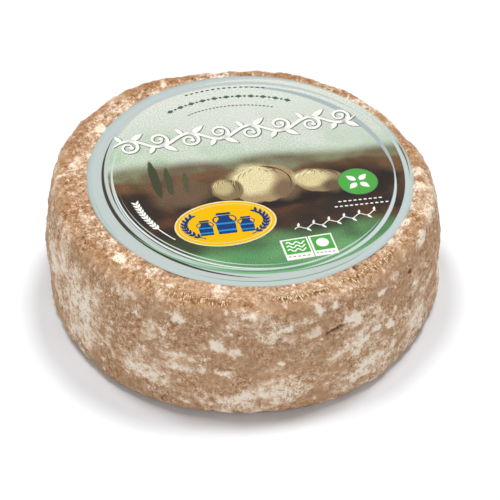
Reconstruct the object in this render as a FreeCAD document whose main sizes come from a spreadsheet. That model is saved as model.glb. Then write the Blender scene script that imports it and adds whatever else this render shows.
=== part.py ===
import FreeCAD, Part

import math
import os

import Sketcher

# A goat tomme: a drum of pressed goat cheese with a natural rind, and the round paper label on its top.
# The drum came out of a round mould and slumped while it ripened. So its outline is slightly lobed, its
# side bellies out, both of its edges are rounded, and it is thicker on one side, which slopes its top.
# Frame: millimetres, +Z up, origin at the middle of the flat foot. The top face falls towards +X.

# Alias, value, note. The slope is in degrees and everything else is in millimetres.
SIZES = [
    ("wheelDiameter", 200.0, "mean width at the belly, the widest level"),
    ("wheelHeight", 69.0, "from the foot to the middle of the top face"),
    ("topSlope", 2.2, "fall of the top face towards +X"),
    ("topInset", 5.2, "how far the side leans in from the belly up to the top face"),
    ("footInset", 1.6, "how far the side leans in from the belly down to the foot"),
    ("topEdge", 5.2, "rounding between the side and the top face"),
    ("footEdge", 6.0, "rounding between the side and the foot"),
    ("labelThickness", 0.2, "paper"),
    ("labelShiftX", 4.4, "the label was laid by hand, off the middle of the top face"),
    ("labelShiftY", 3.6, "the same, across the slope"),
    ("labelMargin", 1.0, "least rind between the label and the top's rounding, before the lobes"),
]

# The lobes of the outline: how many there are, how deep in millimetres, where the first points in degrees.
LOBES = [
    (2, 0.25, -37.0),
    (3, 0.65, 18.0),
    (4, 0.25, -23.0),
    (6, 0.55, 5.0),
]

OUTLINE_POINTS = 48  # eight for each of the six shallow lobes
ROUNDING_TURNS = [0, 30, 60, 90]  # degrees round an edge, from the flat face to the side
SIDE_LEVELS = [0.2, 0.4, 0.6, 0.8]  # shares of the way from the foot's rounding to the top's
TOP_LEVEL = "Sizes.wheelHeight"
SLOPE_AXIS = FreeCAD.Vector(0, 1, 0)  # a positive turn about it lowers the +X side
UP = FreeCAD.Vector(0, 0, 1)

PARTS = "parts"


def makeSheet(doc):
    """The driving dimensions, one aliased cell each."""
    sheet = doc.addObject("Spreadsheet::Sheet", "Sizes")
    for row, (alias, value, note) in enumerate(SIZES, start=1):
        sheet.set(f"A{row}", alias)
        sheet.set(f"B{row}", str(value))
        sheet.set(f"C{row}", note)
        sheet.setAlias(f"B{row}", alias)
    doc.recompute()
    return sheet


def originPlane(body, role):
    """One of the body's own origin planes."""
    for feature in body.Origin.OriginFeatures:
        if feature.Role == role:
            return feature
    raise ValueError(f"{body.Label} has no {role}")


def levelSketch(body, name, height):
    """An empty sketch at a height, given as an expression. The levels fan out as the top slopes."""
    sketch = body.newObject("Sketcher::SketchObject", name)
    sketch.AttachmentSupport = [(originPlane(body, "XY_Plane"), "")]
    sketch.MapMode = "FlatFace"
    sketch.AttachmentOffset = FreeCAD.Placement(FreeCAD.Vector(), FreeCAD.Rotation(SLOPE_AXIS, 1))
    sketch.setExpression("AttachmentOffset.Base.z", height)
    sketch.setExpression(
        "AttachmentOffset.Rotation.Angle",
        f"Sizes.topSlope * ({height}) / Sizes.wheelHeight",
    )
    sketch.recompute()
    return sketch


def levelHeights():
    """The height of each outline, from the foot to the top face, as expressions."""
    foot = [f"Sizes.footEdge * (1 - cos({turn} deg))" for turn in ROUNDING_TURNS]
    side = [
        f"Sizes.footEdge + (Sizes.wheelHeight - Sizes.footEdge - Sizes.topEdge) * {share}"
        for share in SIDE_LEVELS
    ]
    top = [f"Sizes.wheelHeight - Sizes.topEdge * (1 - cos({turn} deg))" for turn in ROUNDING_TURNS]
    return foot + side + top[::-1]


def rounding(edge, depth):
    """How far a quarter round leans in, at a depth below the level where it meets the side."""
    if depth <= 0:
        return 0.0
    return edge - math.sqrt(max(edge**2 - depth**2, 0.0))


def inset(sheet, height):
    """How far the drum's skin lies inside its belly at a height above the foot."""
    belly = sheet.wheelHeight / 2
    reach = (height - belly) / belly
    lean = sheet.topInset if reach > 0 else sheet.footInset
    footRound = rounding(sheet.footEdge, sheet.footEdge - height)
    topRound = rounding(sheet.topEdge, height - (sheet.wheelHeight - sheet.topEdge))
    return lean * reach**2 + footRound + topRound


def outline(sheet, height):
    """The drum's closed, lobed outline at a height, as one periodic spline."""
    points = []
    for i in range(OUTLINE_POINTS):
        turn = 2 * math.pi * i / OUTLINE_POINTS
        radius = sheet.wheelDiameter / 2 - inset(sheet, height)
        for count, depth, first in LOBES:
            radius += depth * math.cos(count * (turn - math.radians(first)))
        points.append(FreeCAD.Vector(radius * math.cos(turn), radius * math.sin(turn), 0))
    spline = Part.BSplineCurve()
    spline.interpolate(Points=points, PeriodicFlag=True)
    return spline


def makeWheel(doc, sheet):
    """The drum of cheese: one loft through its outlines, with both roundings in it."""
    body = doc.addObject("PartDesign::Body", "Wheel")
    body.Label = "wheel"
    levels = []
    for i, expression in enumerate(levelHeights()):
        sketch = levelSketch(body, f"Level{i}", expression)
        sketch.addGeometry(outline(sheet, sketch.AttachmentOffset.Base.z), False)
        levels.append(sketch)
    doc.recompute()
    loft = body.newObject("PartDesign::AdditiveLoft", "Drum")
    loft.Profile = levels[0]
    loft.Sections = levels[1:]
    body.Tip = loft
    return body


def makeLabel(doc, sheet):
    """The paper label: a disc that lies on the sloping top face, as wide as the flat there allows."""
    body = doc.addObject("PartDesign::Body", "Label")
    body.Label = "label"
    sketch = levelSketch(body, "Paper", TOP_LEVEL)
    start = FreeCAD.Vector(sheet.labelShiftX, sheet.labelShiftY, 0)
    rim = sketch.addGeometry(Part.Circle(start, UP, sheet.wheelDiameter / 2 - sheet.topInset), False)
    wholeRim, rimCentre, root = 0, 3, -1
    sizes = {
        "shiftX": (Sketcher.Constraint("DistanceX", root, 1, rim, rimCentre, start.x), "Sizes.labelShiftX"),
        "shiftY": (Sketcher.Constraint("DistanceY", root, 1, rim, rimCentre, start.y), "Sizes.labelShiftY"),
        "radius": (
            Sketcher.Constraint("Radius", rim, sheet.wheelDiameter / 2),
            "Sizes.wheelDiameter / 2 - Sizes.topInset - Sizes.topEdge - Sizes.labelMargin"
            " - sqrt(Sizes.labelShiftX ^ 2 + Sizes.labelShiftY ^ 2)",
        ),
    }
    for name, (constraint, expression) in sizes.items():
        index = sketch.addConstraint(constraint)
        sketch.renameConstraint(index, name)
        sketch.setExpression(f"Constraints.{name}", expression)
    paper = body.newObject("PartDesign::Pad", "Pad")
    paper.Profile = sketch
    paper.setExpression("Length", "Sizes.labelThickness")
    body.Tip = paper
    return body


def check(doc, bodies):
    """Stops if an object failed or a body has no sound solid."""
    for item in doc.Objects:
        if "Invalid" in item.State or "Error" in item.State:
            raise RuntimeError(f"{item.Name} failed: {item.State}")
    for body in bodies:
        if body.Shape.isNull() or not body.Shape.isValid():
            raise RuntimeError(f"{body.Label} has no sound shape")


def main():
    doc = FreeCAD.newDocument("GoatTomme")
    sheet = makeSheet(doc)
    bodies = [makeWheel(doc, sheet), makeLabel(doc, sheet)]
    doc.recompute()
    check(doc, bodies)
    os.makedirs(PARTS, exist_ok=True)
    for body in bodies:
        body.Shape.exportStep(f"{PARTS}/{body.Label}.step")
        print(body.Label, round(body.Shape.Volume), body.Shape.BoundBox)


main()
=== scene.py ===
import math
import random

import bpy
import numpy as np
from mathutils import Euler, Matrix, Vector, noise
from mathutils.bvhtree import BVHTree


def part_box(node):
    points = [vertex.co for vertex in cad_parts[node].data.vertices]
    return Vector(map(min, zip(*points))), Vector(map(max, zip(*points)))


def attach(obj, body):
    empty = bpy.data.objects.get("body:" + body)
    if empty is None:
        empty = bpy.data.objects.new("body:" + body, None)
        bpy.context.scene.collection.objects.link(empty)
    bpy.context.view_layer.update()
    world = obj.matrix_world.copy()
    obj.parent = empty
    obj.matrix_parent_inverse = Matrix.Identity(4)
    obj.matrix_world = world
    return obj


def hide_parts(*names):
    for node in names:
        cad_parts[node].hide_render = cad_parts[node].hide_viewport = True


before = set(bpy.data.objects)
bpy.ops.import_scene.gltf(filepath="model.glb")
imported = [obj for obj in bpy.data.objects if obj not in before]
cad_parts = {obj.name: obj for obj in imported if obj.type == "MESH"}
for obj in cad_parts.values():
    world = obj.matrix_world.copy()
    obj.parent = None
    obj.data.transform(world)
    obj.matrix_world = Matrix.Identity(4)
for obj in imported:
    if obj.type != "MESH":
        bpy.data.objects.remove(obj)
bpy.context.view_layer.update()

# Lengths below are in millimetres, as on the bench, and turned to metres when a mesh is made.
mm = 0.001


def toLinear(hexColour):
    channels = []
    for i in (1, 3, 5):
        value = int(hexColour[i:i + 2], 16) / 255
        channels.append(value / 12.92 if value <= 0.04045 else ((value + 0.055) / 1.055) ** 2.4)
    return (*channels, 1.0)


def addNode(tree, kind, inputs=None, **settings):
    # inputs: socket name or number, to a value or to another node's output
    node = tree.nodes.new(kind)
    for name, value in settings.items():
        setattr(node, name, value)
    for socket, source in (inputs or {}).items():
        if isinstance(source, bpy.types.NodeSocket):
            tree.links.new(source, node.inputs[socket])
        else:
            node.inputs[socket].default_value = source
    return node


def blendInto(tree, share, colour, tint):
    return addNode(tree, "ShaderNodeMix", {0: share, 6: colour, 7: tint}, data_type="RGBA").outputs[2]


def rampOf(tree, value, tones):
    # tones: place on the ramp, colour
    ramp = addNode(tree, "ShaderNodeValToRGB", {"Fac": value})
    stops = ramp.color_ramp.elements
    for i, (position, colour) in enumerate(tones):
        stop = stops[i] if i < 2 else stops.new(position)
        stop.position = position
        stop.color = toLinear(colour)
    return ramp.outputs["Color"]


def mapped(tree, value, span, onto=(0.0, 1.0), kind="LINEAR"):
    # value brought from one span onto another, and held within it
    return addNode(tree, "ShaderNodeMapRange", {
        "Value": value, "From Min": span[0], "From Max": span[1], "To Min": onto[0], "To Max": onto[1],
    }, interpolation_type=kind).outputs[0]


def thresholded(tree, value, low, high, top=1.0):
    return mapped(tree, value, (low, high), (0.0, top), "SMOOTHSTEP")


def mathOf(tree, operation, *numbers):
    return addNode(tree, "ShaderNodeMath", dict(enumerate(numbers)), operation=operation).outputs[0]


def multiplied(tree, first, second):
    return mathOf(tree, "MULTIPLY", first, second)


def addedTo(tree, value, amount, total):
    # value times amount, on top of total
    return mathOf(tree, "MULTIPLY_ADD", value, amount, total)


def newMaterial(name):
    material = bpy.data.materials.new(name)
    material.use_nodes = True
    material.node_tree.nodes.clear()
    return material, material.node_tree


def finishSurface(tree, inputs):
    surface = addNode(tree, "ShaderNodeBsdfPrincipled", inputs).outputs[0]
    addNode(tree, "ShaderNodeOutputMaterial", {"Surface": surface})


def addObject(name, vertices, faces):
    mesh = bpy.data.meshes.new(name)
    mesh.from_pydata(vertices, [], faces)
    mesh.polygons.foreach_set("use_smooth", [True] * len(mesh.polygons))
    mesh.update()
    piece = bpy.data.objects.new(name, mesh)
    bpy.context.scene.collection.objects.link(piece)
    return piece


def addFloats(piece, name, values):
    layer = piece.data.attributes.new(name, "FLOAT", "POINT")
    layer.data.foreach_set("value", np.asarray(values, dtype=np.float32))


def smoothStep(low, high, values):
    share = np.clip((np.asarray(values) - low) / (high - low), 0, 1)
    return share * share * (3 - 2 * share)


def cloud(points, size, octaves, roughness, seed):
    # fractal noise with its broadest lumps this many millimetres across, scaled to a spread of about 1
    shift = Vector((seed * 7.3, seed * 3.1, seed * 5.7))
    total = np.zeros(len(points))
    strength = 1.0
    power = 0.0
    for octave in range(octaves):
        scale = 2.0 ** octave / size
        total += strength * np.array([noise.noise(Vector(p) * scale + shift * (octave + 1)) for p in points])
        power += strength ** 2
        strength *= roughness
    return total / (0.3 * math.sqrt(power))


# The top face slopes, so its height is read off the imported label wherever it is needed.
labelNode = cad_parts["label"]
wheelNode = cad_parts["wheel"]


def fitTopPlane():
    points = np.array([v.co for v in labelNode.data.vertices]) / mm
    normals = np.array([v.normal for v in labelNode.data.vertices])
    points = points[normals[:, 2] < -0.5]  # the glued side, which lies on the rind
    sides = np.c_[points[:, :2], np.ones(len(points))]
    plane, *_ = np.linalg.lstsq(sides, points[:, 2], rcond=None)
    return plane


topPlane = fitTopPlane()
labelLow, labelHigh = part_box("label")
labelCentre = np.array([(labelLow[i] + labelHigh[i]) / 2 / mm for i in range(2)])
labelRadius = (labelHigh.y - labelLow.y) / 2 / mm
wheelLow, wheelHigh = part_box("wheel")
wheelRadius = (wheelHigh.x - wheelLow.x) / 2 / mm
print("frame: top plane", topPlane, "label", labelCentre, labelRadius, "wheel", wheelRadius)


def topHeight(x, y):
    return topPlane[0] * x + topPlane[1] * y + topPlane[2]


# The rind is a skin of rings, from the middle of the top over the side to the middle of the foot.
rind = {
    "columns": 800,  # round the wheel
    "startInside": 0.8,  # how far inside the belly each ring starts before it is pressed on
    "step": 0.8,  # between rows down the side
    "edge": 5.5,  # rounding of both edges, near enough to be pressed onto the CAD skin
    "lean": 4.0,
    "topReach": 14.0,  # of the top face, in from its rim, that is as fine as the side
    "footReach": 2.0,
    "coarse": [(2.0, 400), (3.5, 200), (7.0, 100)],  # ring widths and counts, in under label and foot
    "coarseStep": 8.0,
    "harmonics": 16,  # the CAD facets are finer than this and are smoothed away
}


def profileRows():
    # distance in from the belly and share of the height, from the top face's inside to the foot's
    height = topPlane[2]
    edge = rind["edge"]
    rows = []
    flatTop = rind["lean"] + edge
    for i in range(round(rind["topReach"] / rind["step"])):
        rows.append((flatTop + rind["topReach"] - i * rind["step"], 1.0))
    turns = round(edge * math.pi / 2 / rind["step"])
    for i in range(turns):
        turn = math.pi / 2 * i / turns
        rows.append((flatTop - edge * math.sin(turn), 1 - edge * (1 - math.cos(turn)) / height))
    sideRows = round((height - 2 * edge) / rind["step"])
    for i in range(sideRows):
        share = 1 - (edge + (height - 2 * edge) * i / sideRows) / height
        lean = rind["lean"] * max(0, 2 * share - 1) ** 2
        rows.append((lean, share))
    for i in range(turns):
        turn = math.pi / 2 * (1 - i / turns)
        rows.append((edge * (1 - math.sin(turn)), edge * (1 - math.cos(turn)) / height))
    for i in range(round(rind["footReach"] / rind["step"])):
        rows.append((edge + i * rind["step"], 0.0))
    return rows


def ringOnSkin(skin, inset, share, count):
    # one ring of points pressed onto the CAD skin, with the facets smoothed out of it
    points = []
    for i in range(count):
        turn = 2 * math.pi * i / count
        x = (wheelRadius - rind["startInside"] - inset) * math.cos(turn)
        y = (wheelRadius - rind["startInside"] - inset) * math.sin(turn)
        near = skin.find_nearest(Vector((x, y, share * topHeight(x, y))) * mm)[0] / mm
        points.append((math.hypot(near.x, near.y), near.z))
    smooth = []
    for column in np.array(points).T:
        spectrum = np.fft.rfft(column)
        spectrum[rind["harmonics"] + 1:] = 0
        smooth.append(np.fft.irfft(spectrum, count))
    turns = 2 * np.pi * np.arange(count) / count
    return np.c_[smooth[0] * np.cos(turns), smooth[0] * np.sin(turns), smooth[1]]


def coarseRings(inset, share):
    # rings that grow wider and lose points towards the middle of a flat face
    rings = []
    for width, count in rind["coarse"]:
        inset += width
        rings.append((inset, share, count))
    while inset < wheelRadius - rind["coarseStep"] * 1.5:
        inset += rind["coarseStep"]
        rings.append((inset, share, rings[-1][2]))
    return rings


def joinRings(start, count, nextStart, nextCount):
    faces = []
    if count == nextCount:
        for i in range(count):
            j = (i + 1) % count
            faces.append((start + i, nextStart + i, nextStart + j, start + j))
    elif count == 2 * nextCount:
        for i in range(nextCount):
            j = (i + 1) % nextCount
            middle = start + 2 * i + 1
            faces.append((start + 2 * i, nextStart + i, middle))
            faces.append((middle, nextStart + i, nextStart + j, start + (2 * i + 2) % count))
    else:
        faces = [tuple(reversed(face)) for face in joinRings(nextStart, nextCount, start, count)]
    return faces


def rindGrid():
    fine = [(inset, share, rind["columns"]) for inset, share in profileRows()]
    rings = coarseRings(fine[0][0], 1.0)[::-1] + fine + coarseRings(fine[-1][0], 0.0)
    corners = [Vector(v.co) for v in wheelNode.data.vertices]
    skin = BVHTree.FromPolygons(corners, [tuple(p.vertices) for p in wheelNode.data.polygons])
    points, starts, faces = [], [], []
    for inset, share, count in rings:
        starts.append(sum(len(ring) for ring in points))
        points.append(ringOnSkin(skin, inset, share, count))
    for i in range(len(rings) - 1):
        faces += joinRings(starts[i], rings[i][2], starts[i + 1], rings[i + 1][2])
    points = np.concatenate(points)
    # one point closes each flat face
    topCentre, footCentre = len(points), len(points) + 1
    points = np.vstack([points, [0, 0, topPlane[2]], [0, 0, 0]])
    first, last = rings[0][2], rings[-1][2]
    for i in range(first):
        faces.append((topCentre, starts[0] + i, starts[0] + (i + 1) % first))
    for i in range(last):
        faces.append((footCentre, starts[-1] + (i + 1) % last, starts[-1] + i))
    return points, faces


# Mould and dirt, as tone: up is pale mould, down is bare brown rind. Each mark has its turn round the
# wheel in degrees, height, half length, half height, tilt in degrees and strength.
clouds = [
    (-152, 26, 34, 30, 0, 0.9),  # the pale, well bloomed quarter
    (-128, 47, 9, 10, 20, -1.1),
    (-134, 11, 9, 8, 0, -1.3),
    (-106, 54, 22, 9, 0, -0.7),
    (-123, 30, 10, 15, 20, 1.0),
    (-109, 39, 6, 6, 0, 0.9),
    (-84, 51, 13, 7, 0, 0.8),
    (-98, 24, 16, 7, 0, -0.7),
    (-70, 52, 10, 5, 0, -0.5),
    (-74, 24, 26, 7, 15, 0.9),
    (-88, 12, 18, 6, 0, 0.9),
    (-110, 10, 13, 6, 0, 0.5),
    (-63, 40, 16, 6, 10, -0.9),
    (-52, 34, 12, 9, 30, 0.8),
    (-52, 17, 16, 5, 20, 1.1),
    (-40, 50, 8, 8, 0, -0.7),
    (-28, 26, 18, 14, 30, 1.0),
    (-24, 46, 12, 6, 0, 0.9),
    (-153, 76, 16, 8, 0, -0.7),  # the flat, outside the label
    (-124, 76, 12, 7, 0, 0.5),
    (-109, 76, 7, 6, 0, -0.8),
    (-98, 75, 8, 5, 0, 0.8),
    (-82, 75, 12, 5, 0, -0.5),
    (-55, 73, 16, 4, 0, -0.6),
    (-30, 74, 8, 5, 0, 0.8),
    (-157, 34, 24, 34, 80, 0.45),  # paler again at the far left
]
spots = [  # colonies of white mould on the side
    (-109, 60, 4.0, 3.2, 0, 1.9),
    (-97.5, 48, 5.0, 2.6, -40, 2.2),
    (-93, 44, 3.5, 2.2, -20, 1.4),
    (-113, 52, 2.2, 2.6, 0, 1.0),
    (-77, 56, 2.2, 2.0, 0, 1.7),
    (-82, 53, 3.5, 3.0, 60, 1.3),
    (-70, 51, 4.0, 2.5, 0, 1.3),
    (-67.5, 63.5, 2.4, 2.0, 0, 2.2),
    (-62.5, 63.5, 2.6, 1.6, 0, 1.3),
    (-57, 53, 4.2, 3.2, -20, 2.2),
    (-45.5, 58, 3.6, 1.6, 5, 2.0),
    (-39.5, 61, 3.0, 2.4, 0, 1.0),
    (-44, 35, 2.6, 2.8, 0, 2.4),
    (-49, 39, 2.4, 2.0, 0, 1.6),
    (-52.5, 36, 2.0, 2.0, 0, 1.5),
    (-22.5, 63.5, 5.0, 2.4, 10, 2.0),
    (-95.5, 31, 3.4, 1.8, 20, 1.5),
    (-102, 31.5, 2.0, 2.6, 0, 1.3),
    (-110, 32, 1.4, 1.2, 0, 1.6),
    (-54, 18, 5.0, 1.4, 35, 1.7),
    (-66, 15, 3.0, 1.6, 20, 1.3),
    (-97, 11, 3.0, 1.6, 0, 1.4),
    (-124, 22, 3.0, 4.0, 0, 1.2),
]
pits = [  # nicks and holes
    (-63.4, 49.6, 4.4, 0.9, 12, 0.95),
    (-65.5, 48.2, 1.6, 1.4, 0, 0.8),
    (-31.5, 54.6, 1.7, 1.6, 0, 1.0),
    (-32.5, 47.0, 3.0, 0.9, 35, 0.8),
    (-51.4, 5.6, 1.3, 1.0, 0, 0.9),
    (-49.6, 74.5, 1.1, 2.2, 0, 0.9),
    (-98, 23.5, 1.2, 0.8, 0, 0.5),
    (-96, 25.5, 1.0, 0.7, 0, 0.5),
    (-80, 51.0, 1.1, 0.9, 0, 0.6),
    (-84, 52.5, 1.0, 0.8, 0, 0.5),
    (-97.0, 47.0, 0.8, 0.7, 0, 0.5),
    (-133, 10.0, 1.6, 0.9, 30, 0.6),
]
topMarks = [  # colonies on the flat, outside the label
    (-135.6, 74, 4.2, 3.0, 0, 2.4),
    (-123, 76, 3.0, 3.4, 0, 1.6),
    (-114, 73, 2.4, 1.8, 0, 1.5),
    (-98, 72.5, 4.0, 2.0, 0, 0.9),
    (-144, 78, 3.0, 3.0, 0, 1.4),
    (-20, 72, 3.0, 2.0, 0, 1.6),
]
weaves = [  # threads of the cloth on the rim: turns, strength, middle above the rim and half height
    (-112, -96, 1.1, 0.3, 0.9),
    (-95, -82, 0.4, 0.3, 0.8),
    (-80, -36, 1.25, 0.5, 1.2),
    (-128, -114, 0.65, 0.9, 1.1),
]
rindPatterns = {  # size in mm, octaves, roughness, seed and squash up the side
    "ragged": (5, 4, 0.75, 1, 1),
    "lying": (34, 4, 0.74, 2, 1.7),
    "standing": (24, 4, 0.74, 12, 0.45),
    "mottle": (5.5, 3, 0.85, 3, 1.3),
    "lip": (9, 3, 0.6, 4, 1),
    "broken": (22, 2, 0.6, 5, 1),
    "slump": (70, 2, 0.5, 6, 1),
    "lumps": (17, 2, 0.5, 7, 1),
    "knobs": (6, 2, 0.6, 8, 1),
    "crumbs": (2.4, 2, 0.7, 9, 1),
}
wildKinds = {  # marks set at random: how many, half lengths, half heights, strengths
    "clouds": (26, (9, 26), (6, 18), (-0.9, 1.2)),
    "spots": (110, (0.9, 4.6), (0.8, 3.4), (0.8, 2.1)),
    "smallSpots": (160, (0.6, 1.8), (0.6, 1.5), (0.8, 1.9)),
    "pits": (90, (0.4, 1.3), (0.3, 0.7), (0.3, 0.7)),
}
wildReach = (3, 14)  # above the foot, and in over the rim
wildTilt = 50
rindWear = {
    "seed": 11,
    "rim": 89.5,  # radius where the flat top turns down
    "shown": (-165, -15),  # turns that the marks above cover
    "brushed": (-156, 18, 36),  # middle of the brushed quarter, and where it starts and ends to fade
    "patches": 0.8,
    "mottle": 0.45,
    "contrast": 0.85,
    "ragged": 0.22,  # how torn the marks are at their edges
    "softness": {"cloud": 0.7, "spot": 0.5, "pit": 0.6},  # half width of a mark's edge, of its size
    "spotLift": 1.25,
    "underSpot": 0.35,  # share of the tone that still shows inside a spot
    "footPaintedShade": (1.3, 1.6, 4.0),  # painted shade along the foot, where the wheel meets the floor: amount, and the heights between which it fades
    "rimDirt": (0.6, 0.4, 1.4),  # amount, middle above the rim and half height
    "slump": 0.45,
    "lumps": 0.28,
    "knobs": 0.16,
    "grain": 0.10,
    "topGrain": 0.26,
    "rubbedTop": (-112, -52, 0.55),  # turns where the flat top is worn smoother, and by how much
    "lip": (0.6, 0.3, 1.3),  # amount, middle above the rim and half height
    "lipWander": 0.5,
    "ringEdge": (-0.6, 1.2),  # from the rim: where the side's rind becomes the top's
    "labelEdge": (-1.2, 0.3),  # from the paper's edge: where the rind is pressed flat
    "grainPaintedShade": (0.12, 0.22),  # painted shade in the grain's hollows and painted highlight on its bumps: on the side, and more on the flat
    "footBulge": (0.9, 7, 6),  # amount, middle and half height
    "fur": 0.16,  # how far mould stands off the rind
    "underLabel": 0.30,  # how far the rind is pressed in below the paper
    "flatUnder": 0.25,  # share of the slump left below it
}


def pattern(points, name):
    size, octaves, roughness, seed, squash = rindPatterns[name]
    return cloud(points * (1, 1, squash), size, octaves, roughness, seed)


def climbOf(points):
    # the way up the side and on over the rim towards the middle, in millimetres from the foot
    reach = np.hypot(points[:, 0], points[:, 1])
    level = topPlane[0] * points[:, 0] + topPlane[1] * points[:, 1] + topPlane[2]
    share = np.clip(points[:, 2] / level, 0, 1.02)
    over = smoothStep(0.6, 0.9, share) * np.clip(rindWear["rim"] - reach, 0, None)
    return share * topPlane[2] + over


def blot(turns, climbs, ragged, mark, kind):
    # how much of a mark reaches each point: its strength in its middle and 0 outside
    turn, climb, halfLong, halfTall, tilt, strength = mark
    softness = rindWear["softness"][kind]
    along = (np.mod(turns - turn + 180, 360) - 180) * math.radians(wheelRadius)
    up = climbs - climb
    tiltTurn = math.radians(tilt)
    a = (along * math.cos(tiltTurn) + up * math.sin(tiltTurn)) / halfLong
    b = (up * math.cos(tiltTurn) - along * math.sin(tiltTurn)) / halfTall
    away = np.hypot(a, b) * (1 + rindWear["ragged"] * ragged)
    return strength * (1 - smoothStep(1 - softness, 1 + softness, away))


def wildMarks(chooser, kind, everywhere=False):
    count, longRange, tallRange, strengthRange = wildKinds[kind]
    marks = []
    low, high = rindWear["shown"]
    while len(marks) < count:
        turn = chooser.uniform(-180, 180)
        if everywhere or not low < turn < high:
            small = chooser.random() ** 2
            marks.append((
                turn,
                chooser.uniform(wildReach[0], topPlane[2] + wildReach[1]),
                longRange[0] + (longRange[1] - longRange[0]) * small,
                tallRange[0] + (tallRange[1] - tallRange[0]) * small,
                chooser.uniform(-wildTilt, wildTilt),
                chooser.uniform(*strengthRange),
            ))
    return marks


def slumpAt(points):
    return rindWear["slump"] * pattern(points, "slump")


def toneOf(points, turns, climbs, ragged, chooser):
    # spread about 1 either side of 0: lying patches, but standing ones where it was brushed
    middle, near, far = rindWear["brushed"]
    brushed = 1 - smoothStep(near, far, np.abs(np.mod(turns - middle + 180, 360) - 180))
    lying = pattern(points, "lying")
    standing = pattern(points, "standing")
    tone = rindWear["patches"] * (lying + (standing - lying) * brushed)
    tone += rindWear["mottle"] * pattern(points, "mottle")
    for mark in clouds + wildMarks(chooser, "clouds"):
        tone += blot(turns, climbs, ragged, mark, "cloud")
    tone *= rindWear["contrast"]
    for mark in spots + topMarks + wildMarks(chooser, "spots") + wildMarks(chooser, "smallSpots", True):
        lifted = rindWear["spotLift"] * blot(turns, climbs, ragged, mark, "spot")
        tone = np.maximum(tone, tone * rindWear["underSpot"] + lifted)
    # painted shade: the tone is darkened just above the foot, where the wheel stands on the floor
    amount, low, high = rindWear["footPaintedShade"]
    tone -= amount * (1 - smoothStep(low, high, climbs))
    amount, above, halfTall = rindWear["rimDirt"]  # handling has darkened the rim
    tone -= amount * np.exp(-((climbs - topPlane[2] - above) / halfTall) ** 2)
    return tone


def pitsOf(turns, climbs, ragged, chooser):
    depth = np.zeros(len(turns))
    for mark in pits + wildMarks(chooser, "pits", True):
        depth = np.maximum(depth, blot(turns, climbs, ragged, mark, "pit"))
    return depth


def weaveOf(turns, climbs, lipNoise):
    weave = np.zeros(len(turns))
    for start, end, strength, climb, halfTall in weaves:
        across = np.exp(-((climbs - topPlane[2] - climb - 0.3 * lipNoise) / halfTall) ** 2)
        along = smoothStep(start - 5, start + 2, turns) * (1 - smoothStep(end - 2, end + 5, turns))
        weave = np.maximum(weave, strength * across * along)
    return weave


def wearRind(piece):
    mesh = piece.data
    count = len(mesh.vertices)
    points = np.zeros(count * 3)
    normals = np.zeros(count * 3)
    mesh.vertices.foreach_get("co", points)
    mesh.vertex_normals.foreach_get("vector", normals)
    points = points.reshape(-1, 3) / mm
    normals = normals.reshape(-1, 3)
    turns = np.degrees(np.arctan2(points[:, 1], points[:, 0]))
    climbs = climbOf(points)
    chooser = random.Random(rindWear["seed"])
    ragged = pattern(points, "ragged")
    tone = toneOf(points, turns, climbs, ragged, chooser)
    pit = pitsOf(turns, climbs, ragged, chooser)
    # the flat top, its broken lip and what lies below the paper
    low, high = rindWear["ringEdge"]
    ring = smoothStep(topPlane[2] + low, topPlane[2] + high, climbs)
    start, end, share = rindWear["rubbedTop"]
    ring *= 1 - share * smoothStep(start - 8, start + 8, turns) * (1 - smoothStep(end - 8, end + 8, turns))
    lipNoise = pattern(points, "lip")
    amount, above, halfTall = rindWear["lip"]
    lipHeight = topPlane[2] + above + rindWear["lipWander"] * lipNoise
    lip = amount * np.exp(-((climbs - lipHeight) / halfTall) ** 2)
    lip *= 0.35 + 0.65 * smoothStep(-1.4, 0.8, pattern(points, "broken") + 0.6)
    toLabel = np.hypot(points[:, 0] - labelCentre[0], points[:, 1] - labelCentre[1])
    low, high = rindWear["labelEdge"]
    under = (1 - smoothStep(labelRadius + low, labelRadius + high, toLabel)) * (climbs > topPlane[2])
    # relief, raised along the normals
    crumbs = pattern(points, "crumbs")
    onSide, onTop = rindWear["grainPaintedShade"]
    tone += (onSide + onTop * ring) * crumbs  # painted shade in the hollows of the grain, painted highlight on its bumps
    grain = (rindWear["grain"] + (rindWear["topGrain"] - rindWear["grain"]) * ring) * crumbs
    amount, middle, halfTall = rindWear["footBulge"]
    foot = amount * np.exp(-((climbs - middle) / halfTall) ** 2)
    raised = rindWear["lumps"] * pattern(points, "lumps") + rindWear["knobs"] * pattern(points, "knobs")
    raised += grain + rindWear["fur"] * np.clip(tone, -0.5, 2.5) + foot - pit
    raised += lip * (1 + 0.4 * lipNoise)
    slump = slumpAt(points)
    flat = slump * rindWear["flatUnder"]
    raised = flat + (slump - flat + raised) * (1 - under) - rindWear["underLabel"] * under
    points += normals * raised[:, None]
    points[:, 2] = np.maximum(points[:, 2], 0)
    mesh.vertices.foreach_set("co", (points * mm).ravel())
    mesh.update()
    addFloats(piece, "tone", tone)
    addFloats(piece, "pit", pit)
    addFloats(piece, "ring", ring * (1 - under))
    addFloats(piece, "weave", weaveOf(turns, climbs, lipNoise))
    addFloats(piece, "along", np.radians(turns) * wheelRadius)
    addFloats(piece, "climb", climbs)


def makeRind():
    points, faces = rindGrid()
    piece = addObject("rind", [tuple(p) for p in points * mm], faces)
    wearRind(piece)
    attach(piece, "root")
    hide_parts("wheel")
    return piece


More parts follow.
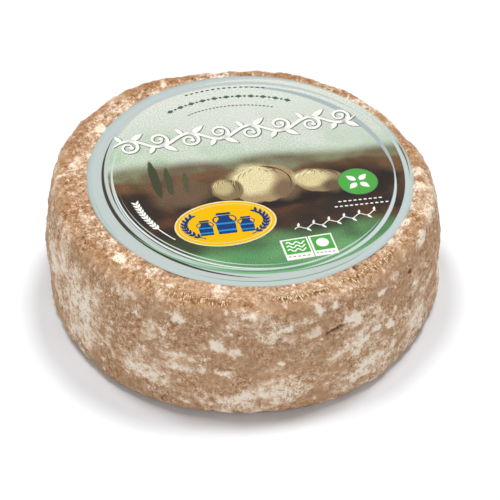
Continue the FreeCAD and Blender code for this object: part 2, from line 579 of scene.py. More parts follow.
# Naturally ripened rind, turned and brushed by hand: dry and matt, a brown crust under patches of
# pale mould, so the eye reads soft powdery clouds over a darker, slightly shinier skin.
rindLook = {
    "tones": [  # place on the tone scale, colour
        (0.00, "#5b391c"),
        (0.10, "#7d5330"),
        (0.22, "#9c6e46"),
        (0.36, "#b0845c"),
        (0.50, "#c09977"),
        (0.63, "#d0ab8b"),
        (0.76, "#e2c2a4"),
        (0.90, "#f5dcc2"),
        (1.00, "#fef1de"),
    ],
    "toneSpan": 4.0,  # this much of the tone runs over the whole scale
    # the flat top is paler: partly its paler mould, partly painted light for the lit top against the darker
    # side
    "ringMouldAndPaintedLight": 0.25,
    "fine": [  # size in mm, detail, amount, squash up the side
        (2.6, 3.0, 3.2, 1.0),
        (1.1, 2.0, 3.0, 1.0),
        (0.55, 1.0, 2.2, 1.0),
        (1.3, 2.0, 1.6, 0.3),
    ],
    "fineFrom": 0.35,  # the fine patterns fade and swell in patches between these
    "fineTo": 1.55,
    "fineOnTop": 1.35,
    "patch": 13.0,  # mm
    "dots": [  # size in mm, where they gather and from how much to how much, colour, strength, shift
        (1.3, "tone", -0.2, 1.1, "#f6ead3", 0.9, 7.0),  # pin-head colonies of mould
        (1.04, "cluster", 0.0, 0.14, "#7a4f2c", 0.65, 9.0),  # dark flecks
    ],
    "cluster": 11.0,  # mm
    "crumb": 1.5,  # mm
    "crumbColour": "#8e5d36",
    "pitColour": "#512a15",
    "weaveThread": (1.15, 0.85),  # mm between threads of the moulding cloth and length of a stitch
    "weaveLean": 0.3,
    "weaveHigh": "#ffe8bf",
    "weaveLow": "#7a4d2a",
    "bump": 0.14,  # mm
    "bareRough": 0.72,
    "mouldRough": 0.95,
    "shine": 0.18,
}


def centredNoise(tree, place, size, detail, squash, shift):
    # noise from about -0.5 to 0.5, this many millimetres across
    local = addNode(tree, "ShaderNodeMapping", {
        "Vector": place, "Location": (shift, shift * 0.7, 0), "Scale": (1, 1, squash),
        "Rotation": Euler((0.12 * shift, 0.17 * shift, 0)) if squash != 1 else Euler(),
    }).outputs["Vector"]
    lumps = addNode(tree, "ShaderNodeTexNoise", {
        "Vector": local, "Scale": 1 / (size * mm), "Detail": detail, "Roughness": 0.6,
    }).outputs["Fac"]
    return mathOf(tree, "SUBTRACT", lumps, 0.5)


def ripenedRind():
    look = rindLook
    material, tree = newMaterial("naturalRindBrushed")
    place = addNode(tree, "ShaderNodeTexCoord").outputs["Object"]
    values = {
        name: addNode(tree, "ShaderNodeAttribute", attribute_name=name).outputs["Fac"]
        for name in ("tone", "pit", "ring", "weave", "along", "climb")
    }
    # tone with the fine patterns added, each centred on 0 and stronger in some patches than in others
    patch = centredNoise(tree, place, look["patch"], 2.0, 1.0, 3.0)
    patch = mapped(tree, patch, (-0.15, 0.15), (look["fineFrom"], look["fineTo"]))
    coarseness = mapped(tree, values["ring"], (0.0, 1.0), (patch, look["fineOnTop"]))
    # partly painted light: the top ring's tone is raised for its paler mould and for the light on the flat
    # top
    total = addedTo(tree, values["ring"], look["ringMouldAndPaintedLight"], values["tone"])
    fine = []
    for i, (size, detail, amount, squash) in enumerate(look["fine"]):
        fine.append(centredNoise(tree, place, size, detail, squash, 1.0 + i))
        total = addedTo(tree, multiplied(tree, fine[-1], amount), coarseness, total)
    share = mapped(tree, total, (-look["toneSpan"] / 2, look["toneSpan"] / 2))
    colour = rampOf(tree, share, look["tones"])
    values["cluster"] = centredNoise(tree, place, look["cluster"], 2.0, 1.0, 10.0)
    for size, where, low, high, tint, strength, shift in look["dots"]:
        dots = thresholded(tree, centredNoise(tree, place, size, 1.5, 1.0, shift), 0.07, 0.17, strength)
        many = thresholded(tree, values[where], low, high)
        colour = blendInto(tree, multiplied(tree, dots, many), colour, toLinear(tint))
    # crumbs round the top edge, with brown between them
    crumbs = addNode(tree, "ShaderNodeTexVoronoi", {
        "Vector": place, "Scale": 1 / (look["crumb"] * mm), "Randomness": 1.0,
    }).outputs["Distance"]
    between = multiplied(tree, thresholded(tree, crumbs, 0.45, 0.75, 0.6), values["ring"])
    between = multiplied(tree, between, thresholded(tree, patch, 0.6, 1.2))
    colour = blendInto(tree, between, colour, toLinear(look["crumbColour"]))
    # threads of the cloth, pressed into the rim as rows of short stitches
    leaning = addedTo(tree, values["climb"], look["weaveLean"], values["along"])
    wrap = addNode(tree, "ShaderNodeCombineXYZ", {
        "X": multiplied(tree, leaning, 1 / look["weaveThread"][0]),
        "Y": multiplied(tree, values["climb"], 1 / look["weaveThread"][1]),
    }).outputs[0]
    threads = addNode(tree, "ShaderNodeTexVoronoi", {
        "Vector": wrap, "Scale": 1.0, "Randomness": 0.75,
    }, voronoi_dimensions="2D").outputs["Distance"]
    knots = thresholded(tree, threads, 0.52, 0.22)
    woven = blendInto(tree, knots, toLinear(look["weaveLow"]), toLinear(look["weaveHigh"]))
    rubbed = thresholded(tree, fine[0], -0.12, 0.08)
    weaveShare = addNode(tree, "ShaderNodeMath", {0: values["weave"], 1: rubbed},
                         operation="MULTIPLY", use_clamp=True).outputs[0]
    colour = blendInto(tree, weaveShare, colour, woven)
    hole = thresholded(tree, values["pit"], 0.2, 0.9, 0.75)
    colour = blendInto(tree, hole, colour, toLinear(look["pitColour"]))
    # relief too fine for the mesh
    rough = addedTo(tree, fine[1], 0.8, fine[2])
    rough = addedTo(tree, between, -1.5, rough)
    rough = addedTo(tree, knots, weaveShare, rough)
    bump = addNode(tree, "ShaderNodeBump", {
        "Height": rough, "Distance": look["bump"] * mm, "Strength": 1.0,
    }).outputs[0]
    gloss = mapped(tree, share, (0.0, 1.0), (look["bareRough"], look["mouldRough"]))
    finishSurface(tree, {
        "Base Color": colour, "Roughness": gloss, "Normal": bump, "Specular IOR Level": look["shine"],
    })
    return material


rindPiece = makeRind()
rindPiece.data.materials.append(ripenedRind())
print("rind made:", len(rindPiece.data.polygons), "faces")

# The label is one sheet of stiff paper, glued to the top face.
paper = {
    "thick": 0.2,
    "wave": 0.25,  # share of the rind's slump that the stiff paper follows
    "rings": 44,
    "columns": 240,
    "trimmed": 0.02,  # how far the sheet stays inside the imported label's edge
    "turn": 10.3,  # the print was laid on turned by this much, degrees
    "inkLift": 0.03,  # from one layer of ink to the next
    "inkCut": 3.0,  # widest ring of a filled shape
}


def labelPoint(x, y, lift):
    # x and y in the label's own print frame, millimetres from its middle; lift above the rind
    turn = math.radians(paper["turn"])
    worldX = labelCentre[0] + x * math.cos(turn) - y * math.sin(turn)
    worldY = labelCentre[1] + x * math.sin(turn) + y * math.cos(turn)
    base = np.array([[worldX, worldY, topHeight(worldX, worldY)]])
    base[0, 2] += paper["wave"] * slumpAt(base)[0] + lift
    return tuple(base[0] * mm)


def rideLabel(piece):
    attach(piece, "root")
    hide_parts("label")
    return piece


def makeLabel():
    points, places, faces = [], [], []
    count = paper["columns"]
    for side in (paper["thick"], 0.0):
        for ring in range(1, paper["rings"] + 1):
            reach = (labelRadius - paper["trimmed"]) * ring / paper["rings"]
            for i in range(count):
                turn = 2 * math.pi * i / count
                x, y = reach * math.cos(turn), reach * math.sin(turn)
                points.append(labelPoint(x, y, side))
                places.append((x, y, 0))
        points.append(labelPoint(0, 0, side))
        places.append((0, 0, 0))
    half = len(points) // 2
    for start, flip in ((0, False), (half, True)):
        made = []
        for i in range(count):
            j = (i + 1) % count
            made.append((start + half - 1, start + i, start + j))
            for ring in range(paper["rings"] - 1):
                low = start + ring * count
                made.append((low + i, low + count + i, low + count + j, low + j))
        faces += [tuple(reversed(f)) for f in made] if flip else made
    edge = (paper["rings"] - 1) * count
    for i in range(count):
        j = (i + 1) % count
        faces.append((edge + i, half + edge + i, half + edge + j, edge + j))
    piece = addObject("label", points, faces)
    layer = piece.data.attributes.new("print", "FLOAT_VECTOR", "POINT")
    layer.data.foreach_set("vector", np.array(places, dtype=np.float32).ravel())
    return rideLabel(piece)


# Coated label paper, offset printed with a hazy evening pasture inside eccentric silver hoops: the coat
# gives a soft, even half gloss, and the fine screen of the print keeps every field a little grainy.
printLook = {
    "sky": [(0.0, "#a3bd98"), (0.3, "#bdccb9"), (0.65, "#ced4c8"), (1.0, "#d6dcd1")],
    "skyFrom": 2.0,
    "skyTo": 66.0,
    "mist": "#d8dad1",
    "mistSize": 34.0,
    "mistAmount": 0.65,
    "leafyHaze": "#86b981",
    "hazeAt": (-50, 18, 26, 18, 0, 0.8, 0.75),  # as a blot, without its colour
    "raggedSize": 9.0,
    "patchFrom": 0.38,  # the noise is spread out between these into two colours
    "patchTo": 0.62,
    "ridges": [  # height, swing, length of a swell, softness, first and second colour, size of their patches
        (15, 5, 52, 9.0, "#7f8264", "#6b5c48", 20),
        (6, 7, 34, 4.0, "#58432f", "#6f5238", 14),
        (-6, 8, 30, 4.0, "#2e2622", "#59402f", 15),
        (-22, 6, 38, 6.0, "#5c3c2a", "#2f2824", 17),
        (-42, 6, 46, 11.0, "#4c6b49", "#5f8b5b", 24),
        (-55, 4, 50, 9.0, "#5b9160", "#6d9f6b", 26),
    ],
    "blots": [  # middle, half sizes, tilt in degrees, softness, colour, strength
        (50, -12, 22, 15, -8, 0.40, "#211c19", 0.9),
        (-62, -18, 14, 14, 10, 0.40, "#2a231f", 0.9),
        (-36, -8, 15, 9, 12, 0.35, "#6f5a45", 0.8),
        (-44, -44, 20, 8, -20, 0.60, "#35291f", 0.75),
        (32, -30, 24, 7, 10, 0.50, "#2f2823", 0.8),
        (-48, 6, 2.3, 14, 3, 0.10, "#3b412c", 0.95),  # poplars
        (-41.5, 3, 1.9, 11, 0, 0.10, "#454a33", 0.95),
        (-33, 1, 1.6, 8, -3, 0.10, "#4d5239", 0.9),
        (11, -20, 26, 5, 3, 0.35, "#231d19", 0.95),
        (6, -6, 17, 14, 14, 0.06, "#a68f6b", 1.0),  # haycocks, lit from the left
        (1, -2, 12, 11, 20, 0.30, "#e0d2a4", 1.0),
        (16, -12, 7, 8, -15, 0.45, "#705b46", 0.85),
        (34, -8, 13, 9.0, -10, 0.06, "#968160", 1.0),
        (30.5, -5.5, 9, 6.5, 0, 0.30, "#d6c796", 1.0),
        (40, -13, 5.5, 5, -15, 0.45, "#5f4c39", 0.85),
        (-13, -8, 8, 8, 0, 0.08, "#83704f", 1.0),
        (-15.5, -6, 5, 5.5, 10, 0.35, "#c3b184", 0.9),
    ],
    "hoops": [  # turn where widest, reach and width there, half span, radius of the outer edge, colour
        (211, 90.0, 19.3, 180, 86.15, "#bcc6c3"),
        (158, 81.2, 0.8, 46, 80.3, "#8fa595"),
        (204, 74.9, 2.0, 58, 77.5, "#3f352c"),
        (254, 73.4, 1.5, 46, 76.0, "#76ad80"),
        (190, 70.6, 0.9, 60, 70.5, "#c9d3d0"),
        (222, 69.2, 1.2, 56, 71.0, "#dde3df"),
        (232, 66.6, 0.7, 44, 69.0, "#cfd8d4"),
        (278, 79.2, 0.7, 44, 78.0, "#7fa285"),
        (272, 70.8, 1.3, 50, 72.0, "#c3d0cc"),
        (318, 74.6, 2.2, 42, 70.0, "#c6d2d2"),
        (335, 80.8, 2.6, 62, 80.4, "#bccaca"),
        (38, 74.2, 3.2, 44, 73.0, "#a5b3b6"),
        (95, 78.2, 2.6, 66, 78.0, "#b9c3c3"),
        (150, 82.8, 2.6, 80, 82.8, "#b4c2c0"),
    ],
    "hoopSoft": 0.16,
    "screen": 0.6,  # mm
    "screenAmount": 0.32,
    "rough": 0.42,
    "inkRough": 0.38,
    "shine": 0.12,
}


def addBlot(tree, place, ragged, blot):
    # the share of a soft-edged oval field
    x, y, halfWide, halfTall, tilt, soft, strength = blot
    local = addNode(tree, "ShaderNodeMapping", {
        "Vector": place, "Location": (x, y, 0), "Rotation": (0, 0, math.radians(tilt)),
        "Scale": (halfWide, halfTall, 1),
    }, vector_type="TEXTURE").outputs[0]
    away = addNode(tree, "ShaderNodeVectorMath", {0: local}, operation="LENGTH").outputs["Value"]
    away = addedTo(tree, ragged, 0.5, away)  # the noise adds 0.25 on average
    return thresholded(tree, away, 1.25 + soft, 1.25 - soft, strength)


def addHoop(tree, place, hoop):
    # the share of a crescent that lies between two circles and runs out to points at both ends
    turn, reach, width, span, radius = hoop
    turn = math.radians(turn)
    ends = 1 - math.cos(math.radians(span))
    inner = radius + width * math.cos(math.radians(span)) / ends
    share = None
    for away, size, soft in (
        (reach - radius, radius, printLook["hoopSoft"]),
        (reach - radius - width / ends, inner, -printLook["hoopSoft"]),
    ):
        middle = (away * math.cos(turn), away * math.sin(turn), 0)
        gap = addNode(tree, "ShaderNodeVectorMath", {0: place, 1: middle},
                      operation="DISTANCE").outputs["Value"]
        side = mapped(tree, gap, (size + soft, size - soft))
        share = side if share is None else multiplied(tree, share, side)
    return share


def printNoise(tree, place, size, detail, distortion=0.0):
    return addNode(tree, "ShaderNodeTexNoise", {
        "Vector": place, "Scale": 1 / size, "Detail": detail, "Roughness": 0.5, "Distortion": distortion,
    }).outputs["Fac"]


def addRidge(tree, place, axes, number, colour):
    # a field with an uneven crest that hides what is above it on the label's print
    height, swing, swell, soft, first, second, patch = printLook["ridges"][number]
    along = addedTo(tree, axes["X"], 1 / swell, 3.7 * number + 1.3)
    crest = addNode(tree, "ShaderNodeTexNoise", {
        "W": along, "Scale": 1.0, "Detail": 1.5, "Roughness": 0.45,
    }, noise_dimensions="1D").outputs["Fac"]
    crest = addedTo(tree, crest, 2.6 * swing, height - 1.3 * swing)
    below = mathOf(tree, "SUBTRACT", crest, axes["Y"])
    covered = thresholded(tree, below, -soft / 2, soft / 2)
    patches = printNoise(tree, place, patch, 3.0, 0.3)
    patches = thresholded(tree, patches, printLook["patchFrom"], printLook["patchTo"])
    field = blendInto(tree, patches, toLinear(first), toLinear(second))
    return blendInto(tree, covered, colour, field)


def offsetPrintedPaper():
    look = printLook
    material, tree = newMaterial("coatedPaperOffset")
    place = addNode(tree, "ShaderNodeAttribute", attribute_name="print").outputs["Vector"]
    axes = addNode(tree, "ShaderNodeSeparateXYZ", {0: place}).outputs
    colour = rampOf(tree, mapped(tree, axes["Y"], (look["skyFrom"], look["skyTo"])), look["sky"])
    ragged = printNoise(tree, place, look["raggedSize"], 3.0)
    leafy = addBlot(tree, place, ragged, look["hazeAt"])
    colour = blendInto(tree, leafy, colour, toLinear(look["leafyHaze"]))
    mist = printNoise(tree, place, look["mistSize"], 4.0)
    mist = thresholded(tree, mist, look["patchFrom"], look["patchTo"], look["mistAmount"])
    colour = blendInto(tree, mist, colour, toLinear(look["mist"]))
    for number in range(len(look["ridges"])):
        colour = addRidge(tree, place, axes, number, colour)
    for x, y, halfWide, halfTall, tilt, soft, tint, strength in look["blots"]:
        share = addBlot(tree, place, ragged, (x, y, halfWide, halfTall, tilt, soft, strength))
        colour = blendInto(tree, share, colour, toLinear(tint))
    screen = printNoise(tree, place, look["screen"], 1.0)
    screen = mapped(tree, screen, (0.3, 0.7), (1 - look["screenAmount"], 1 + look["screenAmount"]))
    colour = addNode(tree, "ShaderNodeVectorMath", {0: colour, "Scale": screen},
                     operation="SCALE").outputs[0]
    for turn, reach, width, span, radius, tint in look["hoops"]:
        share = addHoop(tree, place, (turn, reach, width, span, radius))
        colour = blendInto(tree, share, colour, toLinear(tint))
    finishSurface(tree, {
        "Base Color": colour, "Roughness": look["rough"], "Specular IOR Level": look["shine"],
    })
    return material


labelPiece = makeLabel()
labelPiece.data.materials.append(offsetPrintedPaper())
print("label made")

# Motifs in solid ink are thin pieces of their own, layered over the printed picture.
inks = {
    "white": "#f6f6ef",
    "shade": "#5b675d",
    "black": "#2b2f2c",
    "moss": "#4b6350",
    "gold": "#efba04",
    "goldRim": "#e9dfae",
    "navy": "#123a74",
    "blue": "#2a8ccc",
    "leaf": "#4fa647",
    "straw": "#f0e4bd",
    "umber": "#5c4630",
}


def newArt():
    return {"points": [], "faces": [], "inks": []}


def addShape(art, outline, layer, ink):
    # a filled shape, star-shaped about its middle, cut into rings fine enough to follow the paper
    count = len(outline)
    middle = (sum(p[0] for p in outline) / count, sum(p[1] for p in outline) / count)
    rings = max(1, round(max(math.dist(p, middle) for p in outline) / paper["inkCut"]))
    start = len(art["points"])
    art["points"].append((*middle, layer))
    for ring in range(1, rings + 1):
        for x, y in outline:
            art["points"].append((
                middle[0] + (x - middle[0]) * ring / rings,
                middle[1] + (y - middle[1]) * ring / rings,
                layer,
            ))
    for i in range(count):
        j = (i + 1) % count
        art["faces"].append((start, start + 1 + i, start + 1 + j))
        for ring in range(rings - 1):
            low = start + 1 + ring * count
            art["faces"].append((low + i, low + count + i, low + count + j, low + j))
    art["inks"] += [ink] * (len(art["points"]) - start)


def addRibbon(art, line, widths, layer, ink):
    start = len(art["points"])
    for i, (x, y) in enumerate(line):
        before, after = line[max(0, i - 1)], line[min(len(line) - 1, i + 1)]
        turn = math.atan2(after[1] - before[1], after[0] - before[0])
        for side in (-0.5, 0.5):
            art["points"].append((
                x - math.sin(turn) * side * widths[i], y + math.cos(turn) * side * widths[i], layer))
            art["inks"].append(ink)
        if i:
            low = start + 2 * i
            art["faces"].append((low - 2, low, low + 1, low - 1))


def placed(shape, x, y, tilt):
    # the shape's points turned by tilt, in degrees, and moved to x and y
    turn = math.radians(tilt)
    return [(
        x + a * math.cos(turn) - b * math.sin(turn),
        y + a * math.sin(turn) + b * math.cos(turn),
    ) for a, b in shape]


def oval(x, y, halfWide, halfTall, tilt=0.0, count=48):
    turns = [2 * math.pi * i / count for i in range(count)]
    return placed([(halfWide * math.cos(turn), halfTall * math.sin(turn)) for turn in turns], x, y, tilt)


def leafOutline(x, y, length, width, tilt, count=10):
    # a pointed leaf that starts at x, y and reaches out along tilt
    shape = []
    for i in range(2 * count):
        share = i / count if i <= count else 2 - i / count
        side = -1 if i <= count else 1
        shape.append((length * share, side * width / 2 * math.sin(math.pi * share ** 0.8)))
    return placed(shape, x, y, tilt)


def rectangle(x, y, wide, tall, tilt):
    corners = ((-1, -1), (1, -1), (1, 1), (-1, 1))
    return placed([(a * wide / 2, b * tall / 2) for a, b in corners], x, y, tilt)


def onArc(reach, tilt):
    return reach * math.cos(math.radians(tilt)), reach * math.sin(math.radians(tilt))


# Solid inks, offset printed over the picture: opaque and a little glossier than the paper, so that
# their edges read crisp.
def spotInk():
    material, tree = newMaterial("offsetInkSolid")
    colour = addNode(tree, "ShaderNodeAttribute", attribute_name="ink").outputs["Color"]
    finishSurface(tree, {
        "Base Color": colour, "Roughness": printLook["inkRough"], "Specular IOR Level": printLook["shine"],
    })
    return material


inkMaterial = spotInk()


def printArt(name, art):
    points = [labelPoint(x, y, paper["thick"] + layer * paper["inkLift"]) for x, y, layer in art["points"]]
    piece = addObject(name, points, art["faces"])
    layer = piece.data.attributes.new("ink", "FLOAT_COLOR", "POINT")
    colours = [toLinear(inks[ink]) for ink in art["inks"]]
    layer.data.foreach_set("color", np.array(colours, dtype=np.float32).ravel())
    piece.data.materials.append(inkMaterial)
    return rideLabel(piece)


vine = {
    "from": -65,
    "to": 63,
    "height": 37,
    "rise": 0.05,
    "swing": 3.8,
    "swell": 32.0,
    "stem": 1.9,
    "curl": 5.4,
    "curlTurns": 1.3,
    "curlSteps": 36,
    "bud": 1.25,  # at the tip of each curl
    "leaf": (8.5, 3.4),
    "outline": 0.7,  # dark edge round the white
}


def vineAt(x):
    turn = 2 * math.pi * (x - vine["from"]) / vine["swell"]
    return vine["height"] + vine["rise"] * x + vine["swing"] * math.sin(turn)


def makeVine():
    art = newArt()
    stem = [(vine["from"] + i, vineAt(vine["from"] + i)) for i in range(vine["to"] - vine["from"] + 1)]
    ends = [min(1, 0.3 + 0.12 * min(i, len(stem) - 1 - i)) for i in range(len(stem))]
    lines = [(stem, [vine["stem"] * share for share in ends])]
    leaves, tips = [], []
    half = vine["swell"] / 2
    for k in range(round((vine["to"] - vine["from"]) / half)):
        up = 1 if k % 2 == 0 else -1
        x = vine["from"] + half * (k + 0.5)
        y = vineAt(x)
        curl = []
        shares = [i / vine["curlSteps"] for i in range(vine["curlSteps"] + 1)]
        for share in shares:
            turn = math.radians(up * (90 - 360 * vine["curlTurns"] * share))
            reach = vine["curl"] * (1 - 0.72 * share)
            curl.append((x + reach * math.cos(turn), y - up * vine["curl"] + reach * math.sin(turn)))
        lines.append((curl, [vine["stem"] * (1 - 0.45 * share) for share in shares]))
        tips.append(curl[-1])
        length, width = vine["leaf"]
        leaves.append((x + 2, vineAt(x + 2), length, width, up * 38))
        leaves.append((x - 3, vineAt(x - 3), length * 0.75, width * 0.8, up * 118))
    for grow, layer, ink, shift in ((vine["outline"], 1, "shade", 0.25), (0.0, 2, "white", 0.0)):
        for line, widths in lines:
            addRibbon(art, [(x + shift, y - shift) for x, y in line], [w + grow for w in widths], layer, ink)
        bud = vine["bud"] + grow / 2
        for x, y in tips:
            addShape(art, oval(x + shift, y - shift, bud, bud, 0, 16), layer, ink)
        for x, y, length, width, turn in leaves:
            away = grow / 2
            x -= away * math.cos(math.radians(turn))
            y -= away * math.sin(math.radians(turn))
            outline = leafOutline(x + shift, y - shift, length + 2 * away, width + 2 * away, turn)
            addShape(art, outline, layer, ink)
    return printArt("labelVine", art)


seal = {
    "middle": (-19, -33),
    "half": (25.0, 16.0),
    "rim": 0.8,
    "tilt": 3.0,
    "line": (1.6, 0.35),  # how far inside the edge, and how wide
    "churns": [(0, 0.92), (-10.4, 0.6624), (10.4, 0.6624)],  # place along the foot and size
    "churnFoot": -7.6,
    "sprig": (20.6, 11.8),  # half sizes of the oval that both sprigs follow
    "sprigFrom": 34,  # degrees from the foot
    "sprigStep": 5.1,
    "sprigPoints": 19,
    "leaf": (3.4, 1.5),
    "leafLean": 34,
}
churn = {  # the right half of a milk churn that stands at 0, 0
    "body": [(5, 0), (5.4, 9), (3.1, 12.4), (3.1, 15)],
    "lid": [(4.2, 15.4), (3.6, 17.2)],
    "lowBand": [(5.1, 2.0), (5.2, 3.4)],
    "highBand": [(5.3, 7.6), (5.2, 9.0)],
    "handle": [(3.1, 14.2), (5.0, 14.0), (6.2, 12.6), (6.2, 10.8), (5.2, 9.4)],
    "handleWidth": 0.8,
}


def addChurn(art, x, y, size):
    for name, layer, ink in (("body", 3, "navy"), ("lid", 3, "navy"), ("lowBand", 4, "blue"),
                             ("highBand", 4, "blue")):
        mirrored = [(-a, b) for a, b in churn[name]]
        shape = [mirrored[0]] + churn[name] + mirrored[:0:-1]
        addShape(art, [(x + a * size, y + b * size) for a, b in shape], layer, ink)
    for side in (-1, 1):
        handle = [(x + side * a * size, y + b * size) for a, b in churn["handle"]]
        addRibbon(art, handle, [churn["handleWidth"] * size] * len(handle), 3, "navy")


def makeSeal():
    art = newArt()
    x, y = seal["middle"]
    halfWide, halfTall = seal["half"]
    for grow, layer, ink in ((seal["rim"], 1, "goldRim"), (0.0, 2, "gold")):
        addShape(art, oval(x, y, halfWide + grow, halfTall + grow, seal["tilt"], 72), layer, ink)
    inside, width = seal["line"]
    ring = oval(x, y, halfWide - inside, halfTall - inside, seal["tilt"], 72)
    addRibbon(art, ring + ring[:1], [width] * 73, 3, "goldRim")
    for shift, size in seal["churns"]:
        addChurn(art, x + shift, y + seal["churnFoot"], size)
    for side in (-1, 1):
        tilts, sprig = [], []
        for i in range(seal["sprigPoints"]):
            tilts.append(-90 + side * (seal["sprigFrom"] + seal["sprigStep"] * i))
            a, b = onArc(1, tilts[-1])
            sprig.append((x + seal["sprig"][0] * a, y + seal["sprig"][1] * b))
        addRibbon(art, sprig, [0.6] * len(sprig), 3, "navy")
        for point, tilt in zip(sprig[2::2], tilts[2::2]):
            for lean in (-seal["leafLean"], seal["leafLean"]):
                addShape(art, leafOutline(*point, *seal["leaf"], tilt + side * 90 + lean), 3, "navy")
    return printArt("labelSeal", art)


roundel = {
    "middle": (53, -12),
    "radius": 9.9,
    "edge": 0.4,
    "petals": 4,
    "petal": (6.0, 3.4),
    "petalFrom": 1.3,
}


def makeRoundel():
    art = newArt()
    x, y = roundel["middle"]
    for grow, layer, ink in ((roundel["edge"], 1, "shade"), (0.0, 2, "leaf")):
        radius = roundel["radius"] + grow
        addShape(art, oval(x, y, radius, radius), layer, ink)
    for i in range(roundel["petals"]):
        tilt = 360 / roundel["petals"] * (i + 0.5)
        a, b = onArc(roundel["petalFrom"], tilt)
        addShape(art, leafOutline(x + a, y + b, *roundel["petal"], tilt), 3, "white")
    return printArt("labelRoundel", art)


# Small trim along the edges. Beads are rows of ovals with 4 sides, which read as lozenges, or with 10.
trim = {
    "beads": [  # radius of the row, first turn, step, count, half sizes, points, colour
        (66.0, 118.0, 5.6, 11, (2.1, 1.35), 4, "moss"),
        (66.0, 115.2, 5.6, 10, (0.75, 0.75), 12, "moss"),
        (58.5, 112.0, 2.0, 23, (0.75, 0.45), 10, "moss"),
        (73.5, 106.0, 2.3, 15, (0.95, 0.5), 10, "black"),
    ],
    "ear": (61.5, 190, 1.1, 30),  # radius, first turn, step, points
    "earGrain": (3.2, 1.4),
    "earLean": 36,
    "garland": (14, -43, 0.16, 1.1, 0.78, 44),  # start, slope, swing, pace of the swing, points
    "garlandLeaf": (3.2, 1.3),
    "garlandLean": 62,
    "dashes": [(51, -26.0, 9), (51, -29.6, 11)],  # middle of the row, count
    "dashStep": 2.6,
    "dash": (0.9, 0.5),
    "haycocks": [  # middle, half sizes, straws
        (5, -5, 15, 13, 46),
        (33, -7, 12, 8.5, 30),
        (-14, -7, 7, 7, 16),
    ],
    "straw": [0.12, 0.34, 0.36, 0.3, 0.1],  # widths from end to end
    "strawSeed": 5,
    "tiles": [(12.2, -57.446, 14.0), (25.6, -56.508, 12.0)],  # middle and width
    "tileTall": 15.4,
    "tileBorder": 0.9,
    "tileTilt": 4,
    "tileDashes": 5,
    "waves": (7.4, -58.4, 2.6, 0.9, 20),  # start, gap between them, swing, points
    "sun": (25.5, -54.8, 3.2),
}


def addBeads(art):
    for reach, first, step, count, half, points, ink in trim["beads"]:
        for i in range(count):
            tilt = first - step * i
            addShape(art, oval(*onArc(reach, tilt), *half, tilt - 90, points), 1, ink)
    for middle, y, count in trim["dashes"]:
        for i in range(count):
            x = middle + trim["dashStep"] * (i - (count - 1) / 2)
            addShape(art, oval(x, y, *trim["dash"], 0, 10), 1, "white")


def addEar(art):
    reach, first, step, count = trim["ear"]
    stem = [onArc(reach, first + step * i) for i in range(count)]
    addRibbon(art, stem, [0.6] * count, 1, "white")
    for i in range(1, 20, 2):
        for side in (-1, 1):
            tilt = first - 88 + step * i + side * trim["earLean"]
            addShape(art, leafOutline(*stem[i], *trim["earGrain"], tilt), 1, "white")


def addGarland(art):
    x, y, slope, swing, pace, count = trim["garland"]
    line = [(x + i, y + slope * i + swing * math.sin(i * pace)) for i in range(count)]
    addRibbon(art, line, [0.5] * count, 1, "white")
    for i in range(2, count - 1, 4):
        side = 1 if i % 8 == 2 else -1
        tilt = 12 + side * trim["garlandLean"]
        addShape(art, leafOutline(*line[i], *trim["garlandLeaf"], tilt), 1, "white")


def addStraws(art):
    # bent straws that run down from the tops of the haycocks, dark on the shaded side
    chooser = random.Random(trim["strawSeed"])
    for x, y, halfWide, halfTall, count in trim["haycocks"]:
        for i in range(count):
            side = chooser.uniform(-1, 1)
            start = chooser.uniform(0.05, 0.6)
            length = chooser.uniform(0.15, 0.4)
            straw = []
            for k in range(5):
                down = start + length * k / 4
                a, b = onArc(1 - 0.75 * (1 - abs(side)) ** 1.5 * down, 90 - 150 * side * down ** 1.3)
                straw.append((x + halfWide * a, y + halfTall * b))
            ink = "straw" if side < 0.25 and i % 3 else "umber"
            addRibbon(art, straw, trim["straw"], 1, ink)


def addTiles(art):
    border = trim["tileBorder"]
    tilt = trim["tileTilt"]
    for x, y, wide in trim["tiles"]:
        addShape(art, rectangle(x, y, wide, trim["tileTall"], tilt), 1, "white")
        addShape(art, rectangle(x, y + 1.6, wide - 2 * border, trim["tileTall"] - 5, tilt), 2, "leaf")
        for i in range(trim["tileDashes"]):
            dash = rectangle(x + (i - 2) * wide / 6, y - 5.6, wide / 10, 0.5, tilt)
            addShape(art, dash, 2, "moss")
    x, y, gap, swing, count = trim["waves"]
    for i in range(3):
        wave = [(x + 0.5 * k, y + gap * i + swing * math.sin(k * 0.75)) for k in range(count)]
        addRibbon(art, wave, [0.8] * count, 3, "white")
    x, y, radius = trim["sun"]
    addShape(art, oval(x, y, radius, radius, 0, 32), 3, "white")


def makeTrim():
    art = newArt()
    for addPart in (addBeads, addEar, addGarland, addStraws, addTiles):
        addPart(art)
    return printArt("labelTrim", art)


for makePiece in (makeVine, makeSeal, makeRoundel, makeTrim):
    made = makePiece()
    print("printed", made.name, len(made.data.polygons), "faces")

# Floor, lamps and camera. The floor and the sky are white to the camera and dimmer as light.
studio = {
    "floorSize": 8.0,  # metres
    "floorColour": "#f2f5f9",
    "floorGlow": 0.055,  # what the camera sees on top of the floor's own light, up to white
    "sky": 0.04,
    "frontSky": 0.62,  # added where the sky is nearest to the front, low down
    "frontFrom": -0.1,  # how far towards the front it starts, of 1
    "suns": [  # turn from +X and height in degrees, strength, softness in degrees
        (44, 71, 1.62, 15),
        (146, 73, 1.46, 16),
        (-90, 35, 0.36, 40),
    ],
}


def seenShare(tree):
    # 1 where the floor or sky is looked at, straight or in a gloss, and 0 where it only lights
    path = addNode(tree, "ShaderNodeLightPath")
    seen = mathOf(tree, "MAXIMUM", path.outputs["Is Camera Ray"], path.outputs["Is Glossy Ray"])
    return mathOf(tree, "MAXIMUM", seen, path.outputs["Is Transmission Ray"])


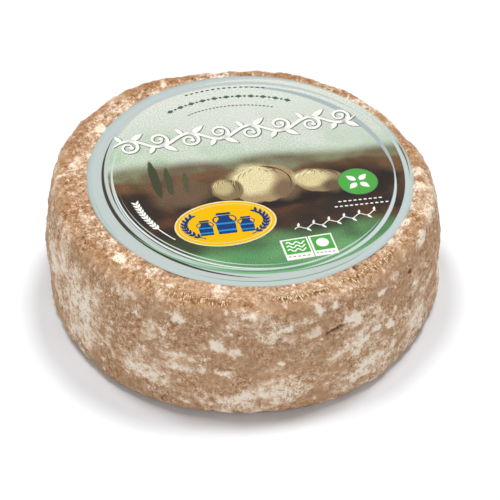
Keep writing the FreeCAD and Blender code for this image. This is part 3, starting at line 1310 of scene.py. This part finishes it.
def makeStudio():
    half = studio["floorSize"] / 2
    floor = addObject("floor", [(-half, -half, 0), (half, -half, 0), (half, half, 0), (-half, half, 0)],
                      [(0, 1, 2, 3)])
    material, tree = newMaterial("paintedFloorMatt")
    matt = addNode(tree, "ShaderNodeBsdfDiffuse", {"Color": toLinear(studio["floorColour"])}).outputs[0]
    strength = multiplied(tree, seenShare(tree), studio["floorGlow"])
    glow = addNode(tree, "ShaderNodeEmission", {"Strength": strength}).outputs[0]
    both = addNode(tree, "ShaderNodeAddShader", {0: matt, 1: glow}).outputs[0]
    addNode(tree, "ShaderNodeOutputMaterial", {"Surface": both})
    floor.data.materials.append(material)

    world = bpy.data.worlds.new("studioSky")
    bpy.context.scene.world = world
    world.use_nodes = True
    tree = world.node_tree
    tree.nodes.clear()
    towards = addNode(tree, "ShaderNodeTexCoord").outputs["Generated"]
    ahead = addNode(tree, "ShaderNodeSeparateXYZ", {0: towards}).outputs["Y"]
    levels = (studio["sky"], studio["sky"] + studio["frontSky"])
    lit = mapped(tree, ahead, (studio["frontFrom"], -1.0), levels, "SMOOTHSTEP")
    strength = mapped(tree, seenShare(tree), (0.0, 1.0), (lit, 1.0))
    sky = addNode(tree, "ShaderNodeBackground", {"Strength": strength}).outputs[0]
    addNode(tree, "ShaderNodeOutputWorld", {"Surface": sky})

    for i, (turn, height, strength, softness) in enumerate(studio["suns"]):
        sun = bpy.data.lights.new(f"sun{i}", "SUN")
        sun.energy = strength
        sun.angle = math.radians(softness)
        lamp = bpy.data.objects.new(f"sun{i}", sun)
        bpy.context.scene.collection.objects.link(lamp)
        towards = Vector((
            math.cos(math.radians(turn)) * math.cos(math.radians(height)),
            math.sin(math.radians(turn)) * math.cos(math.radians(height)),
            math.sin(math.radians(height)),
        ))
        lamp.rotation_euler = towards.to_track_quat("Z", "Y").to_euler()


view = {
    "height": 41.21,  # degrees above the floor
    "away": 1500.0,
    "lens": 210.6,  # on a sensor 36 mm wide
    "roll": 1.0,  # degrees clockwise
    "shift": (0.0146, -0.0334),
    "clip": (0.1, 30),  # metres
}


def makeCamera():
    height = math.radians(view["height"])
    back = Vector((0, -math.cos(height), math.sin(height)))
    aim = Vector((0, 0, topPlane[2] / 2))
    data = bpy.data.cameras.new("camera")
    data.lens = view["lens"]
    data.shift_x, data.shift_y = view["shift"]
    data.clip_start, data.clip_end = view["clip"]
    camera = bpy.data.objects.new("camera", data)
    bpy.context.scene.collection.objects.link(camera)
    camera.location = (aim + back * view["away"]) * mm
    turn = back.to_track_quat("Z", "Y").to_matrix()
    roll = Matrix.Rotation(math.radians(-view["roll"]), 3, "Z")
    camera.rotation_euler = (turn @ roll).to_euler()
    bpy.context.scene.camera = camera


makeStudio()
makeCamera()
bpy.context.scene.view_settings.view_transform = "Standard"
print("studio made")
